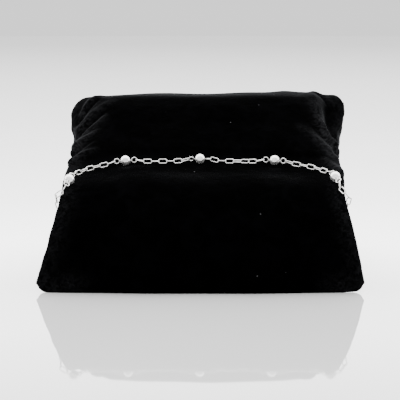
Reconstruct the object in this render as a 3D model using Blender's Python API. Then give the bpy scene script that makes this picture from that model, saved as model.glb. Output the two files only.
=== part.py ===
# Chain bracelet with nine round beads, closed round a small velvet display cushion.
# Metres, +Z up. The cushion's front edge faces -Y and its flat base lies on Z = 0.
# The origin is the middle of the whole thing's footprint.

import bpy
import math
import numpy as np
from mathutils import Matrix, Vector

# Cushion, overall
CUSHION_WIDTH = 0.0914
CUSHION_DEPTH = 0.0800
CUSHION_HEIGHT = 0.0500

# Groove that the bracelet presses into the cushion: its depth on top, and below the height above
# the table at which it runs, with how gently it levels off there
DENT_TOP = 0.0006
DENT_WIDTH = 0.0100
TUNNEL_HEIGHT = 0.0150
TUNNEL_EASE = 0.0080

# Beads: round balls, drilled for the eye pin that carries them
BEAD_COUNT = 9
BEAD_DIAMETER = 0.0030
BEAD_HOLE = 0.0010

# Chain: long links between the eyes of the pins
WIRE = 0.00031
LINKS_BETWEEN = 7
LINK_LENGTH = 0.0029
LINK_WIDTH = 0.0015
LINK_CORNER = 0.00042
EYE_DIAMETER = 0.0018
PIN_DIAMETER = 0.00034

# Clasp, with the ring at each end of the chain that it holds
END_RING_DIAMETER = 0.0034
END_RING_WIRE = 0.0005
CLASP_LENGTH = 0.0070
CLASP_WIDTH = 0.0046
CLASP_WIRE = 0.0013
CLASP_EYE_DIAMETER = 0.0030
CLASP_EYE_WIRE = 0.0008

# Clearances: between separate pieces, and how far soldered wires run into each other
PLAY = 0.0003
EYE_PLAY = 0.0002
SOLDER = 0.00010

# Chords from touch to touch: along a link, and from a bead's middle to the far side of its eye
LINK_CHORD = LINK_LENGTH - 2 * WIRE
EYE_CHORD = BEAD_DIAMETER / 2 + EYE_PLAY + SOLDER / 2 + EYE_DIAMETER - WIRE

# The clasp's tail eye runs into its body by this much, and each end ring hooks in with play
CLASP_OVERLAP = 0.0004
RING_HOOKED = END_RING_DIAMETER - 2 * END_RING_WIRE - PLAY
HARDWARE_LENGTH = (
    CLASP_LENGTH - CLASP_WIRE + CLASP_EYE_DIAMETER - CLASP_EYE_WIRE - CLASP_OVERLAP + 2 * RING_HOOKED
)

# Side seams of the cushion from the front ears (along = 0) to the rear ears (along = 1).
# Columns: along, left and right half width, depth and height, as shares of the sizes.
SIDE_SEAM = (
    (0.00, 1.000, 1.004, 0.040, 0.045),
    (0.10, 0.950, 0.968, 0.050, 0.200),
    (0.20, 0.902, 0.930, 0.085, 0.370),
    (0.30, 0.868, 0.902, 0.150, 0.505),
    (0.42, 0.868, 0.915, 0.260, 0.590),
    (0.55, 0.868, 0.922, 0.420, 0.640),
    (0.68, 0.858, 0.946, 0.590, 0.700),
    (0.79, 0.895, 0.990, 0.720, 0.750),
    (0.87, 0.935, 1.040, 0.810, 0.810),
    (0.94, 0.920, 1.045, 0.870, 0.870),
    (1.00, 0.855, 1.000, 0.905, 0.920),
)

# Upper face along its middle. Columns: along, depth, height, and how level it stays across.
CREST = (
    (0.00, 0.006, 0.014, 2.8),
    (0.06, 0.000, 0.130, 2.8),
    (0.14, 0.030, 0.290, 2.8),
    (0.24, 0.100, 0.440, 2.8),
    (0.34, 0.215, 0.555, 2.8),
    (0.46, 0.385, 0.645, 3.0),
    (0.60, 0.560, 0.785, 3.4),
    (0.74, 0.720, 0.915, 3.8),
    (0.86, 0.840, 0.985, 4.8),
    (0.94, 0.925, 0.990, 5.6),
    (1.00, 0.970, 0.925, 6.0),
)

# Under face along its middle, before the table flattens it. Columns as in the crest.
BELLY = (
    (0.00, 0.006, 0.014, 2.8),
    (0.06, 0.030, -0.070, 4.5),
    (0.15, 0.110, -0.150, 4.5),
    (0.35, 0.320, -0.170, 3.8),
    (0.55, 0.520, -0.150, 3.6),
    (0.70, 0.700, -0.050, 3.6),
    (0.81, 0.830, 0.140, 3.8),
    (0.90, 0.935, 0.400, 4.4),
    (0.97, 0.985, 0.710, 5.4),
    (1.00, 0.970, 0.925, 6.0),
)
ROUNDNESS = 0.50

# Ridges and creases of the velvet on the upper face. Columns: across and along at the start,
# the middle and the end, half width as a share of the depth, and height as a share of the height.
FOLDS = (
    (-0.983, 0.625, -0.900, 0.685, -0.725, 0.727, 0.028, 0.022),
    (-0.955, 0.752, -0.860, 0.775, -0.640, 0.800, 0.026, 0.020),
    (-0.980, 0.690, -0.890, 0.728, -0.700, 0.765, 0.022, -0.022),
    (0.983, 0.605, 0.855, 0.765, 0.752, 0.950, 0.030, 0.024),
    (0.992, 0.680, 0.925, 0.800, 0.840, 0.960, 0.030, -0.036),
    (0.955, 0.540, 0.860, 0.605, 0.688, 0.670, 0.024, 0.016),
    (0.620, 0.930, 0.760, 0.935, 0.880, 0.930, 0.070, 0.024),
)
FOLD_STEPS = 13

# Where the bracelet crosses the cushion, as along values: top middle, side seam, under middle
CROSS_TOP = 0.46
CROSS_SIDE = 0.29
CROSS_UNDER = 0.34
CROSS_BEND = 4.0

# Mesh fineness
CUSHION_COLUMNS = 30
ROWS_IN_FRONT = (0.0, 0.15, 0.31, 0.47, 0.62, 0.75, 0.85, 0.915, 0.962)
ROWS_BEHIND = (0.0, 0.024, 0.056, 0.10, 0.16, 0.24, 0.34, 0.46, 0.60, 0.74, 0.86, 0.95, 1.0)
WIRE_SIDES = 5
RING_STEPS = 10
BEAD_SIDES = 12
BEAD_BANDS = 7
PATH_SAMPLES = 480
SMOOTHING = 40

# Roll of each link about the chain, degrees from facing the front, stretch by stretch,
# left to right: eye, seven links, eye
SEEN_ROLLS = (
    (0, 62, -28, 60, -22, 62, 0, 88, -5),
    (0, 90, 0, 88, -4, 80, -12, 55, -32),
    (88, 0, 80, -8, 52, -44, 16, 90, 0),
    (0, 62, -16, 66, -12, 62, -22, 70, -5),
)
PLAIN_ROLL = 90


def read_table(table, along):
    """Smooth values of a table's columns at the given along values (Catmull-Rom)."""
    rows = np.array(table)
    knots = rows[:, 0]
    values = rows[:, 1:]
    slopes = np.gradient(values, knots, axis=0)
    along = np.clip(along, 0.0, 1.0)
    cell = np.clip(np.searchsorted(knots, along, side="right") - 1, 0, len(knots) - 2)
    span = knots[cell + 1] - knots[cell]
    t = ((along - knots[cell]) / span)[..., None]
    span = span[..., None]
    start = (2 * t ** 3 - 3 * t ** 2 + 1) * values[cell]
    end = (3 * t ** 2 - 2 * t ** 3) * values[cell + 1]
    leave = (t ** 3 - 2 * t ** 2 + t) * span * slopes[cell]
    arrive = (t ** 3 - t ** 2) * span * slopes[cell + 1]
    return start + end + leave + arrive


def crossing(across, under):
    """Along value at which the bracelet crosses the face, for a place across it."""
    middle = CROSS_UNDER if under else CROSS_TOP
    turned = np.arcsin(np.clip(np.abs(across), 0.0, 1.0)) * 2 / math.pi
    return middle + (CROSS_SIDE - middle) * turned ** CROSS_BEND


def bare_surface(across, along, under):
    """Points of one face of the round cushion, without the groove or the flat base."""
    side = read_table(SIDE_SEAM, along)
    middle = read_table(BELLY if under else CREST, along)
    fullness = np.clip(1.0 - np.abs(across) ** middle[..., 2], 0.0, 1.0) ** ROUNDNESS
    half_width = np.where(across < 0, side[..., 0], side[..., 1])
    x = CUSHION_WIDTH / 2 * half_width * across
    y = CUSHION_DEPTH * (side[..., 2] + (middle[..., 0] - side[..., 2]) * fullness)
    z = CUSHION_HEIGHT * (side[..., 3] + (middle[..., 1] - side[..., 3]) * fullness)
    return np.stack((x, y, z), axis=-1)


def outward(across, along, under, step=0.004):
    """Unit normals of one face, pointing out of the cushion."""
    inner = np.clip(across, -0.985, 0.985)
    by_across = bare_surface(inner + step, along, under) - bare_surface(inner - step, along, under)
    low = np.clip(along - step, 0.0, 1.0)
    high = np.clip(along + step, 0.0, 1.0)
    by_along = bare_surface(inner, high, under) - bare_surface(inner, low, under)
    normal = np.cross(by_across, by_along) * (-1.0 if under else 1.0)
    return normal / np.linalg.norm(normal, axis=-1, keepdims=True)


def groove_share(across, along, under):
    """How much of the groove's depth a place on the cushion gets."""
    off = (along - crossing(across, under)) * CUSHION_DEPTH / DENT_WIDTH
    return np.exp(-off ** 2)


def fold_height(points):
    """How far the folds lift points of the upper face, fading from each fold's start to its end."""
    total = np.zeros(points.shape[:-1])
    share = np.linspace(0.0, 1.0, FOLD_STEPS)
    at_start = (2 * share - 1) * (share - 1)
    at_middle = 4 * share * (1 - share)
    at_end = share * (2 * share - 1)
    weights = np.stack((at_start, at_middle, at_end), axis=1)
    for fold in FOLDS:
        line = bare_surface(weights @ np.array(fold[0:6:2]), weights @ np.array(fold[1:6:2]), False)
        gaps = np.linalg.norm(points[..., None, :] - line, axis=-1)
        fading = 1.0 - share[np.argmin(gaps, axis=-1)] ** 3
        reach = gaps.min(axis=-1) / (fold[6] * CUSHION_DEPTH)
        total += fold[7] * CUSHION_HEIGHT * fading * np.exp(-reach ** 2)
    return total


def surface(across, along, under):
    """Points of one face of the cushion as it rests, with its groove and its folds."""
    across = np.asarray(across, dtype=float)
    along = np.asarray(along, dtype=float)
    # normals turn straight sideways at the seam, so that both faces move alike there
    normal = outward(across, along, under)
    sideways = np.zeros_like(normal)
    sideways[..., 0] = np.sign(across)
    edge = (np.abs(across) ** 8)[..., None]
    normal = normal * (1.0 - edge) + sideways * edge
    normal /= np.linalg.norm(normal, axis=-1, keepdims=True)
    points = bare_surface(across, along, under)
    share = groove_share(across, along, under)
    if under:
        short = TUNNEL_HEIGHT - points[..., 2]
        points[..., 2] += share * (short + np.hypot(short, TUNNEL_EASE)) / 2
    else:
        points += normal * (fold_height(points) - DENT_TOP * share)[..., None]
    points[..., 2] = np.maximum(points[..., 2], 0.0)
    return points


def footprint_centre():
    """Middle of the cushion's footprint, in the frame of its front edge."""
    across = np.linspace(-1, 1, 41)
    along = np.linspace(0, 1, 81)
    grid = np.meshgrid(across, along)
    points = np.concatenate([bare_surface(grid[0], grid[1], under).reshape(-1, 3) for under in (False, True)])
    return (points.min(axis=0) + points.max(axis=0)) / 2 * np.array((1, 1, 0))


def make_material(name, colour, roughness, metallic):
    material = bpy.data.materials.new(name)
    material.use_nodes = True
    shader = material.node_tree.nodes["Principled BSDF"]
    shader.inputs["Base Color"].default_value = (*colour, 1.0)
    shader.inputs["Roughness"].default_value = roughness
    shader.inputs["Metallic"].default_value = metallic
    return material


def make_object(name, points, faces, material, smooth=True):
    mesh = bpy.data.meshes.new(name)
    mesh.from_pydata([tuple(point) for point in points], [], faces)
    mesh.materials.append(material)
    if smooth:
        mesh.shade_smooth()
        mesh.set_sharp_from_angle(angle=math.radians(40))
    piece = bpy.data.objects.new(name, mesh)
    bpy.context.scene.collection.objects.link(piece)
    return piece


def build_cushion(material, centre):
    """Both faces of the cushion on one grid, with a row of corners along the groove."""
    columns = np.sin(np.linspace(-0.5, 0.5, CUSHION_COLUMNS + 1) * math.pi)
    rows = len(ROWS_IN_FRONT) + len(ROWS_BEHIND)
    front = np.array(ROWS_IN_FRONT)
    behind = np.array(ROWS_BEHIND)
    grids = []
    for under in (False, True):
        cross = crossing(columns, under)[None, :]
        along = np.concatenate((cross * front[:, None], cross + (1 - cross) * behind[:, None]))
        across = np.repeat(columns[None, :], rows, axis=0)
        grids.append(surface(across, along, under) - centre)
    points = []
    index = np.zeros((2, rows, CUSHION_COLUMNS + 1), dtype=int)
    for sheet in range(2):
        for row in range(rows):
            for column in range(CUSHION_COLUMNS + 1):
                on_seam = row in (0, rows - 1) or column in (0, CUSHION_COLUMNS)
                if sheet == 1 and on_seam:
                    index[1, row, column] = index[0, row, column]
                    continue
                index[sheet, row, column] = len(points)
                points.append(grids[sheet][row, column])
    faces = []
    for row in range(rows - 1):
        for column in range(CUSHION_COLUMNS):
            for sheet in range(2):
                corners = [
                    int(index[sheet, row, column]),
                    int(index[sheet, row, column + 1]),
                    int(index[sheet, row + 1, column + 1]),
                    int(index[sheet, row + 1, column]),
                ]
                if sheet == 1:
                    corners.reverse()
                faces.append((corners[0], corners[1], corners[2]))
                faces.append((corners[0], corners[2], corners[3]))
    return make_object("cushion", points, faces, material)


def smooth_loop(points, passes):
    """Even out a closed row of points."""
    for _ in range(passes):
        points = 0.5 * points + 0.25 * (np.roll(points, 1, axis=0) + np.roll(points, -1, axis=0))
    return points


def unit_rows(vectors):
    return vectors / np.linalg.norm(vectors, axis=1, keepdims=True)


class Route:
    """The bracelet's closed line, from the top middle towards +X and back underneath."""

    def __init__(self, centre):
        half = np.sin(np.linspace(0.0, 0.5, PATH_SAMPLES // 4) * math.pi)
        line = []
        rearward = []
        for across, under in ((half, False), (half[::-1], True), (-half, True), (-half[::-1], False)):
            cross = crossing(across, under)
            line.append(surface(across, cross, under)[:-1] - centre)
            ahead = bare_surface(across, cross + 0.02, under) - bare_surface(across, cross - 0.02, under)
            rearward.append(unit_rows(ahead)[:-1])
        line = np.vstack(line)
        rearward = np.vstack(rearward)
        closed = np.vstack((line, line[:1]))
        walked = np.concatenate(([0.0], np.cumsum(np.linalg.norm(np.diff(closed, axis=0), axis=1))))
        places = np.linspace(0.0, walked[-1], PATH_SAMPLES, endpoint=False)
        rearward = np.vstack((rearward, rearward[:1]))
        self.line = np.stack([np.interp(places, walked, closed[:, axis]) for axis in range(3)], axis=1)
        lengthwise = np.stack([np.interp(places, walked, rearward[:, axis]) for axis in range(3)], axis=1)
        self.length = walked[-1]
        cushion = self.line
        self.line = smooth_loop(cushion, SMOOTHING)
        lengthwise = smooth_loop(lengthwise, SMOOTHING)
        ahead = np.roll(self.line, -1, axis=0) - np.roll(self.line, 1, axis=0)
        self.out = unit_rows(np.cross(ahead, lengthwise))
        # where evening out has sunk the line into the cushion, it is brought back to its face
        sunk = np.maximum(np.sum((cushion - self.line) * self.out, axis=1), 0.0)
        self.line += self.out * sunk[:, None]
        self.stand = np.full(PATH_SAMPLES, LINK_WIDTH / 2 + PLAY)

    def lift(self, places, spans, heights):
        """Raise the line smoothly over some spans, for beads and the clasp."""
        steps = np.arange(PATH_SAMPLES) / PATH_SAMPLES * self.length
        low = LINK_WIDTH / 2 + PLAY
        self.stand = np.full(PATH_SAMPLES, low)
        for place, span, height in zip(places, spans, heights):
            off = np.abs((steps - place + self.length / 2) % self.length - self.length / 2)
            rise = np.clip(1.0 - (off - span) / LINK_LENGTH, 0.0, 1.0)
            self.stand = np.maximum(self.stand, low + height * rise ** 2 * (3 - 2 * rise))

    def read(self, values, place):
        """Value at a distance along the cushion's groove, between the samples."""
        spot = (place / self.length * PATH_SAMPLES) % PATH_SAMPLES
        low = int(spot) % PATH_SAMPLES
        share = spot - int(spot)
        return values[low] * (1 - share) + values[(low + 1) % PATH_SAMPLES] * share

    def at(self, place):
        """Point of the centre line at a distance along the cushion's groove."""
        return Vector(self.read(self.line + self.out * self.stand[:, None], place))

    def height(self, point, place):
        """How far a point stands above the groove, measured at a place along it."""
        return float(np.dot(np.array(point) - self.read(self.line, place), self.read(self.out, place)))

    def step_on(self, place, chord, way):
        """Next place whose point lies one straight chord further on."""
        here = self.at(place)
        low = 0.5 * chord
        high = 2.0 * chord
        for _ in range(40):
            middle = (low + high) / 2
            if (self.at(place + way * middle) - here).length < chord:
                low = middle
            else:
                high = middle
        return place + way * (low + high) / 2


def frame_on(start, end, roll):
    """Matrix whose X runs from start to end and whose Z, the link's flat side, faces the front."""
    ahead = (end - start).normalized()
    facing = Vector((0.0, -1.0, 0.0))
    facing = (facing - ahead * facing.dot(ahead)).normalized()
    across = facing.cross(ahead)
    turn = Matrix((ahead, across, facing)).transposed().to_4x4()
    return Matrix.Translation((start + end) / 2) @ turn @ Matrix.Rotation(math.radians(roll), 4, "X")


def link_outline(half_length, half_width, corner):
    """Centre line of a long link: two straight sides and two flattened round ends."""
    ends = RING_STEPS // 2
    outline = []
    for side in (1, -1):
        for step in range(ends):
            angle = math.pi * (step / (ends - 1) - 0.5)
            x = side * (half_length - corner + corner * math.cos(angle))
            y = side * half_width * math.sin(angle)
            outline.append((x, y))
    return outline


def round_outline(radius):
    steps = [2 * math.pi * step / RING_STEPS for step in range(RING_STEPS)]
    return [(radius * math.cos(angle), radius * math.sin(angle)) for angle in steps]


def tube_ring(outline, wire, sides, place):
    """A closed ring of wire along a flat outline, with a ridge of its wire turned inwards."""
    count = len(outline)
    points = []
    for number, (x, y) in enumerate(outline):
        before = Vector(outline[number - 1])
        after = Vector(outline[(number + 1) % count])
        ahead = (after - before).normalized()
        inward = Vector((-ahead.y, ahead.x, 0.0))
        turn_in = (Vector((x, y)) - before).normalized().dot(ahead)
        miter = 1.0 / max(turn_in, 0.5)
        for side in range(sides):
            angle = 2 * math.pi * side / sides
            offset = inward * (math.cos(angle) * wire / 2 * miter)
            offset.z = math.sin(angle) * wire / 2
            points.append(place @ (Vector((x, y, 0.0)) + offset))
    faces = []
    for number in range(count):
        following = (number + 1) % count
        for side in range(sides):
            beside = (side + 1) % sides
            faces.append((
                number * sides + side,
                number * sides + beside,
                following * sides + beside,
                following * sides + side,
            ))
    return points, faces


def rod(length, diameter, sides, place):
    """A straight pin with flat ends."""
    points = []
    for end in (-0.5, 0.5):
        for side in range(sides):
            angle = 2 * math.pi * side / sides
            spot = Vector((end * length, math.cos(angle) * diameter / 2, math.sin(angle) * diameter / 2))
            points.append(place @ spot)
    faces = [tuple(range(sides - 1, -1, -1)), tuple(range(sides, 2 * sides))]
    for side in range(sides):
        beside = (side + 1) % sides
        faces.append((side, beside, sides + beside, sides + side))
    return points, faces


def drilled_ball(diameter, hole, place):
    """A round bead with a straight hole along X."""
    radius = diameter / 2
    mouth = math.asin(hole / diameter)
    profile = []
    for band in range(BEAD_BANDS + 1):
        angle = mouth + (math.pi - 2 * mouth) * band / BEAD_BANDS
        profile.append((radius * math.cos(angle), radius * math.sin(angle)))
    points = []
    for x, reach in profile:
        for side in range(BEAD_SIDES):
            angle = 2 * math.pi * side / BEAD_SIDES
            points.append(place @ Vector((x, reach * math.cos(angle), reach * math.sin(angle))))
    faces = []
    rings = len(profile)
    for ring in range(rings):
        following = (ring + 1) % rings
        for side in range(BEAD_SIDES):
            beside = (side + 1) % BEAD_SIDES
            faces.append((
                ring * BEAD_SIDES + side,
                following * BEAD_SIDES + side,
                following * BEAD_SIDES + beside,
                ring * BEAD_SIDES + beside,
            ))
    return points, faces


def join_shapes(shapes):
    points = []
    faces = []
    for shape_points, shape_faces in shapes:
        start = len(points)
        points.extend(shape_points)
        faces.extend(tuple(start + corner for corner in face) for face in shape_faces)
    return points, faces


def fuse(piece, other):
    """Join another object's solids to this one with a Boolean union."""
    other.hide_render = True
    other.display_type = "WIRE"
    union = piece.modifiers.new("soldered", "BOOLEAN")
    union.operation = "UNION"
    union.solver = "EXACT"
    union.object = other


def walk_bracelet(route):
    """Touch places along the route, stretch by stretch from left to right, and the end touches."""
    each_way = BEAD_COUNT // 2
    pitch = 2 * EYE_CHORD + LINKS_BETWEEN * LINK_CHORD
    beads = [number * pitch for number in range(-each_way, each_way + 1)]
    lifts = [(BEAD_DIAMETER - LINK_WIDTH) / 2] * len(beads)
    clasp_lift = (END_RING_DIAMETER - LINK_WIDTH + PLAY) / 2
    for _ in range(5):
        spans = [EYE_CHORD] * len(beads) + [HARDWARE_LENGTH / 2]
        route.lift(beads + [route.length / 2], spans, lifts + [clasp_lift])
        walks = {}
        for way in (1, -1):
            place = route.step_on(0.0, EYE_CHORD, way)
            walked = [place]
            for bead in range(each_way):
                for _ in range(LINKS_BETWEEN):
                    place = route.step_on(place, LINK_CHORD, way)
                    walked.append(place)
                place = route.step_on(place, 2 * EYE_CHORD, way)
                number = each_way + way * (bead + 1)
                beads[number] = (walked[-1] + place) / 2
                middle = (route.at(walked[-1]) + route.at(place)) / 2
                lifts[number] += BEAD_DIAMETER / 2 + PLAY - route.height(middle, beads[number])
                walked.append(place)
            walks[way] = walked
    span = LINKS_BETWEEN + 1
    stretches = {}
    for number in range(each_way):
        stretches[number] = walks[1][span * number:span * (number + 1)]
        stretches[-1 - number] = walks[-1][span * number:span * (number + 1)][::-1]
    return stretches, walks[1][-1], walks[-1][-1] + route.length


def close_bracelet(route, start, end):
    """Touch places of the links on both sides of the clasp, sized so that the loop just closes."""
    free = end - start - HARDWARE_LENGTH
    count = max(2, round(free / LINK_CHORD))
    first = count // 2
    low = 0.5 * free / count
    high = 1.5 * free / count
    for _ in range(30):
        chord = (low + high) / 2
        near = [start]
        for _ in range(first):
            near.append(route.step_on(near[-1], chord, 1))
        far = [end]
        for _ in range(count - first):
            far.append(route.step_on(far[-1], chord, -1))
        if (route.at(near[-1]) - route.at(far[-1])).length > HARDWARE_LENGTH:
            low = chord
        else:
            high = chord
    return near, far[::-1]


class Chain:
    """Collects wire pieces in two groups by turns, so that only neighbours in a row are fused."""

    def __init__(self):
        self.groups = ([], [])

    def add(self, shape, turn):
        self.groups[turn % 2].append(shape)

    def link(self, start, end, roll, turn):
        place = frame_on(start, end, roll)
        half_length = (end - start).length / 2 + WIRE / 2 - SOLDER / 2
        outline = link_outline(half_length, (LINK_WIDTH - WIRE) / 2, LINK_CORNER)
        self.add(tube_ring(outline, WIRE, WIRE_SIDES, place), turn)

    def eye(self, middle, touch, roll, turn):
        """A pin's eye, with its middle short of the touch place on the line from the bead."""
        ahead = (touch - middle).normalized()
        eye_middle = touch - ahead * (EYE_DIAMETER / 2 - WIRE + SOLDER / 2)
        place = frame_on(eye_middle - ahead * WIRE, eye_middle + ahead * WIRE, roll)
        self.add(tube_ring(round_outline((EYE_DIAMETER - WIRE) / 2), WIRE, WIRE_SIDES, place), turn)

    def pin(self, start, end, turn):
        length = (end - start).length - 2 * (EYE_DIAMETER - 1.5 * WIRE + SOLDER / 2)
        self.add(rod(length, PIN_DIAMETER, WIRE_SIDES + 1, frame_on(start, end, 0)), turn)


def stretch_rolls(number):
    """Rolls of the eyes and links of one stretch: as seen in front, and by turns behind."""
    seen = number + len(SEEN_ROLLS) // 2
    if 0 <= seen < len(SEEN_ROLLS) and len(SEEN_ROLLS[seen]) == LINKS_BETWEEN + 2:
        return SEEN_ROLLS[seen]
    return [PLAIN_ROLL * (turn % 2) for turn in range(LINKS_BETWEEN + 2)]


def build_bracelet(silver, centre):
    route = Route(centre)
    stretches, start, end = walk_bracelet(route)
    near, far = close_bracelet(route, start, end)
    chain = Chain()

    # stretches of links, with the eyes at both ends of each
    each_way = BEAD_COUNT // 2
    touches = {}
    for number, places in stretches.items():
        rolls = stretch_rolls(number)
        spots = [route.at(place) for place in places]
        for turn in range(LINKS_BETWEEN):
            chain.link(spots[turn], spots[turn + 1], rolls[turn + 1], turn)
        touches[number, "right"] = (spots[0], rolls[0])
        touches[number + 1, "left"] = (spots[-1], rolls[-1])
    touches[each_way, "right"] = (route.at(start), PLAIN_ROLL * (len(near) % 2))
    touches[-each_way, "left"] = (route.at(end), PLAIN_ROLL * (len(far) % 2))

    # beads, each on its pin
    for number in range(-each_way, each_way + 1):
        left, left_roll = touches[number, "left"]
        right, right_roll = touches[number, "right"]
        middle = (left + right) / 2
        chain.eye(middle, left, left_roll, 1)
        chain.eye(middle, right, right_roll, 1)
        chain.pin(left, right, 0)
        points, faces = drilled_ball(BEAD_DIAMETER, BEAD_HOLE, frame_on(left, right, 0))
        make_object("bead_%d" % (number + each_way + 1), points, faces, silver)

    # links beside the clasp, and the end ring on each side of it
    ends = []
    for places, ring_at in ((near, -1), (far, 0)):
        spots = [route.at(place) for place in places]
        turns = len(spots) - 1
        for turn in range(turns):
            from_bead = turn if ring_at == -1 else turns - 1 - turn
            chain.link(spots[turn], spots[turn + 1], PLAIN_ROLL * ((turns - from_bead) % 2), from_bead)
        ends.append((spots[ring_at], turns))
    hardware = frame_on(ends[0][0], ends[1][0], 0)
    ring_radius = (END_RING_DIAMETER - END_RING_WIRE) / 2
    for way, (spot, turns) in zip((-1, 1), ends):
        ring_middle = way * (HARDWARE_LENGTH / 2 - END_RING_DIAMETER / 2 + END_RING_WIRE - SOLDER / 2)
        place = hardware @ Matrix.Translation((ring_middle, 0, 0))
        chain.add(tube_ring(round_outline(ring_radius), END_RING_WIRE, WIRE_SIDES + 1, place), turns)

    first = make_object("chain", *join_shapes(chain.groups[0]), silver)
    second = make_object("chain_other_turns", *join_shapes(chain.groups[1]), silver)
    fuse(first, second)
    build_clasp(silver, hardware)


def build_clasp(silver, hardware):
    """A plain closed clasp, flat against the cushion: a long loop with a small eye at its tail."""
    flat = hardware @ Matrix.Rotation(math.radians(90), 4, "X")
    body_start = -HARDWARE_LENGTH / 2 + END_RING_DIAMETER - END_RING_WIRE - PLAY - CLASP_WIRE
    body_middle = body_start - END_RING_WIRE + CLASP_LENGTH / 2
    tail_middle = body_middle + CLASP_LENGTH / 2 + CLASP_EYE_DIAMETER / 2 - CLASP_OVERLAP
    half_length = (CLASP_LENGTH - CLASP_WIRE) / 2
    half_width = (CLASP_WIDTH - CLASP_WIRE) / 2
    loop = link_outline(half_length, half_width, half_width)
    body = tube_ring(loop, CLASP_WIRE, WIRE_SIDES + 3, flat @ Matrix.Translation((body_middle, 0, 0)))
    tail_ring = round_outline((CLASP_EYE_DIAMETER - CLASP_EYE_WIRE) / 2)
    tail_place = flat @ Matrix.Translation((tail_middle, 0, 0))
    tail = tube_ring(tail_ring, CLASP_EYE_WIRE, WIRE_SIDES + 1, tail_place)
    clasp = make_object("clasp", *body, silver)
    fuse(clasp, make_object("clasp_tail", *tail, silver))


def main():
    for old in list(bpy.data.objects):
        bpy.data.objects.remove(old, do_unlink=True)
    silver = make_material("polished_silver", (0.82, 0.81, 0.79), 0.12, 1.0)
    velvet = make_material("black_velvet", (0.008, 0.008, 0.009), 0.9, 0.0)
    centre = footprint_centre()
    build_cushion(velvet, centre)
    build_bracelet(silver, centre)


main()
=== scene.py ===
# Silver chain bracelet with round beads, closed round a black velvet display cushion.
import math
import bpy
import numpy as np
from mathutils import Matrix, Vector


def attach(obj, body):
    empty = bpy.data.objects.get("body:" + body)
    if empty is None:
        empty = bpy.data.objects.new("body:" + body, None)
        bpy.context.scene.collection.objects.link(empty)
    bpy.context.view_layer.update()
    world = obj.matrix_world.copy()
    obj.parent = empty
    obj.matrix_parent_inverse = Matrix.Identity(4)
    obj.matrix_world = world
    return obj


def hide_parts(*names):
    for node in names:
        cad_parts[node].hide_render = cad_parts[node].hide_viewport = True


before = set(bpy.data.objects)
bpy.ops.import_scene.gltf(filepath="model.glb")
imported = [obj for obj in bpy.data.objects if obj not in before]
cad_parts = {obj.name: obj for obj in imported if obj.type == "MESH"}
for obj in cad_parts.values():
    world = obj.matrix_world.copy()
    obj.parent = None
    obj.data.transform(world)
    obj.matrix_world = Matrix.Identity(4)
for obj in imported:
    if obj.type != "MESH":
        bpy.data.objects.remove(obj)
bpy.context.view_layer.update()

print("frame loaded")

# metres, +Z up, the cushion's front edge faces -Y
# places on a face: across runs from -1 on the left to 1, along from 0 at the front edge to 1
cushionSizes = {
    "width": 0.0914, "depth": 0.0800, "height": 0.0500,
    "roundness": 0.50,
    "dentTop": 0.0006, "dentWidth": 0.0100,
    "tunnelHeight": 0.0150, "tunnelEase": 0.0080,
    "crossTop": 0.46, "crossSide": 0.29, "crossUnder": 0.34, "crossBend": 4.0,
    "columns": 112, "rowsInFront": 36, "rowsBehind": 62,
    "seamAcross": 0.985, "seamTurn": 8,  # the outward direction points sideways at the seam
}

# along, left and right half width, depth, height: shares of the sizes above
sideSeam = (
    (0.00, 1.000, 1.004, 0.040, 0.045),
    (0.10, 0.950, 0.968, 0.050, 0.200),
    (0.20, 0.902, 0.930, 0.085, 0.370),
    (0.30, 0.868, 0.902, 0.150, 0.505),
    (0.42, 0.868, 0.915, 0.260, 0.590),
    (0.55, 0.868, 0.922, 0.420, 0.640),
    (0.68, 0.858, 0.946, 0.590, 0.700),
    (0.79, 0.895, 0.990, 0.720, 0.750),
    (0.87, 0.935, 1.040, 0.810, 0.810),
    (0.94, 0.920, 1.045, 0.870, 0.870),
    (1.00, 0.855, 1.000, 0.905, 0.920),
)

# along, depth, height, and how level the face stays across
crest = (
    (0.00, 0.006, 0.014, 2.8),
    (0.06, 0.000, 0.130, 2.8),
    (0.14, 0.030, 0.290, 2.8),
    (0.24, 0.100, 0.440, 2.8),
    (0.34, 0.215, 0.555, 2.8),
    (0.46, 0.385, 0.645, 3.0),
    (0.60, 0.560, 0.785, 3.4),
    (0.74, 0.720, 0.915, 3.8),
    (0.86, 0.840, 0.985, 4.8),
    (0.94, 0.925, 0.990, 5.6),
    (1.00, 0.970, 0.925, 6.0),
)
belly = (
    (0.00, 0.006, 0.014, 2.8),
    (0.06, 0.030, -0.070, 4.5),
    (0.15, 0.110, -0.150, 4.5),
    (0.35, 0.320, -0.170, 3.8),
    (0.55, 0.520, -0.150, 3.6),
    (0.70, 0.700, -0.050, 3.6),
    (0.81, 0.830, 0.140, 3.8),
    (0.90, 0.935, 0.400, 4.4),
    (0.97, 0.985, 0.710, 5.4),
    (1.00, 0.970, 0.925, 6.0),
)

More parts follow.
